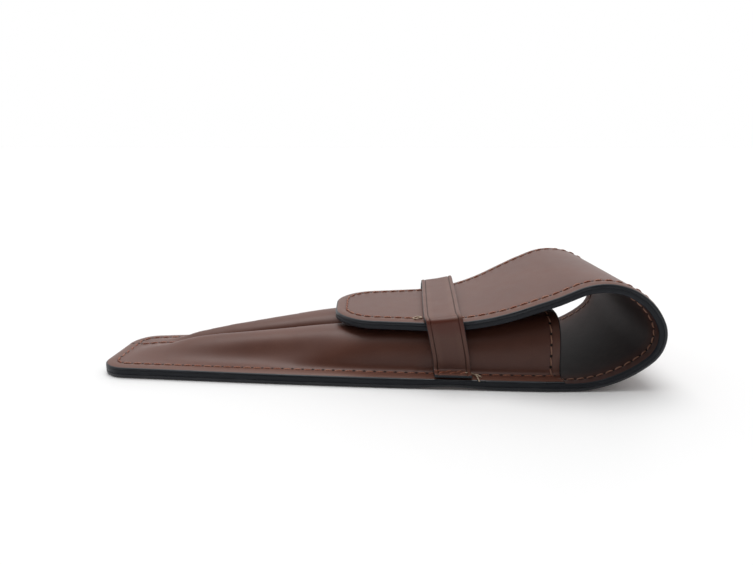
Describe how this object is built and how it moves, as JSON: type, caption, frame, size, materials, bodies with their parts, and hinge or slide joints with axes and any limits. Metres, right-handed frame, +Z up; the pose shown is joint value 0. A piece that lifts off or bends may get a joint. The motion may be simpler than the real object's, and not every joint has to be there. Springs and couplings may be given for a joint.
{
  "type": "double pen case",
  "caption": "Moulded leather case with two side by side pen channels, closed by a fold-over flap whose tongue slips under a keeper band.",
  "frame": {"origin": "on the surface that the case lies on, under the middle of the closed case", "axes": "+X from the toe to the fold of the flap, +Y across the case, +Z up through the flap"},
  "size_m": [0.1607, 0.055, 0.0318],
  "materials": {
    "outer_leather": "smooth brown vegetable-tanned leather, satin, with black painted edges",
    "lining": "thin dark brown lining leather, matt",
    "thread": "waxed rust-brown linen thread"
  },
  "bodies": {
    "case": {"back_outer": "outer_leather", "back_lining": "lining", "front_panel": "outer_leather", "facing_near": "lining", "facing_far": "lining", "keeper": "outer_leather", "thread_toe_seam": "thread", "thread_side_seam_near": "thread", "thread_side_seam_far": "thread", "thread_mouth_hem_near": "thread", "thread_mouth_hem_far": "thread", "thread_centre_seam": "thread", "thread_keeper_near": "thread", "thread_keeper_far": "thread"},
    "flap_lift": {"flap_lift_outer": "outer_leather", "flap_lift_lining": "lining", "thread_flap_lift_near": "thread", "thread_flap_lift_far": "thread"},
    "flap_fold": {"flap_fold_outer": "outer_leather", "flap_fold_lining": "lining", "thread_flap_fold_near": "thread", "thread_flap_fold_far": "thread"},
    "flap_crown": {"flap_crown_outer": "outer_leather", "flap_crown_lining": "lining", "thread_flap_crown_near": "thread", "thread_flap_crown_far": "thread"},
    "flap_shoulder": {"flap_shoulder_outer": "outer_leather", "flap_shoulder_lining": "lining", "thread_flap_shoulder_near": "thread", "thread_flap_shoulder_far": "thread"},
    "flap_slope": {"flap_slope_outer": "outer_leather", "flap_slope_lining": "lining", "thread_flap_slope_near": "thread", "thread_flap_slope_far": "thread"},
    "flap_tongue": {"flap_tongue_outer": "outer_leather", "flap_tongue_lining": "lining", "thread_flap_tongue": "thread"}
  },
  "joints": [
    {"name": "lift_hinge", "type": "hinge", "parent": "case", "child": "flap_lift", "pos_m": [0.06167, 0, 0.00071], "axis": [0, 1, 0], "range_deg": [0, 12.1]},
    {"name": "fold_hinge", "type": "hinge", "parent": "flap_lift", "child": "flap_fold", "pos_m": [0.07721, 0, 0.00899], "axis": [0, 1, 0], "range_deg": [0, 55], "deforming": ["keeper"]},
    {"name": "crown_hinge", "type": "hinge", "parent": "flap_fold", "child": "flap_crown", "pos_m": [0.07805, 0, 0.02104], "axis": [0, 1, 0], "range_deg": [0, 63]},
    {"name": "shoulder_hinge", "type": "hinge", "parent": "flap_crown", "child": "flap_shoulder", "pos_m": [0.06773, 0, 0.02989], "axis": [0, 1, 0], "range_deg": [0, 68.1]},
    {"name": "slope_hinge", "type": "hinge", "parent": "flap_shoulder", "child": "flap_slope", "pos_m": [0.04868, 0, 0.02483], "axis": [0, 1, 0], "range_deg": [-151, 0]},
    {"name": "tongue_hinge", "type": "hinge", "parent": "flap_slope", "child": "flap_tongue", "pos_m": [0.0295, 0, 0.02014], "axis": [0, 1, 0], "range_deg": [0, 77.5]}
  ],
  "couplings": [
    {"joint": "lift_hinge", "follows": "fold_hinge", "ratio": 0.21818},
    {"joint": "shoulder_hinge", "follows": "fold_hinge", "ratio": 1.2364},
    {"joint": "slope_hinge", "follows": "crown_hinge", "ratio": -2.393},
    {"joint": "tongue_hinge", "follows": "crown_hinge", "ratio": 1.2276}
  ]
}
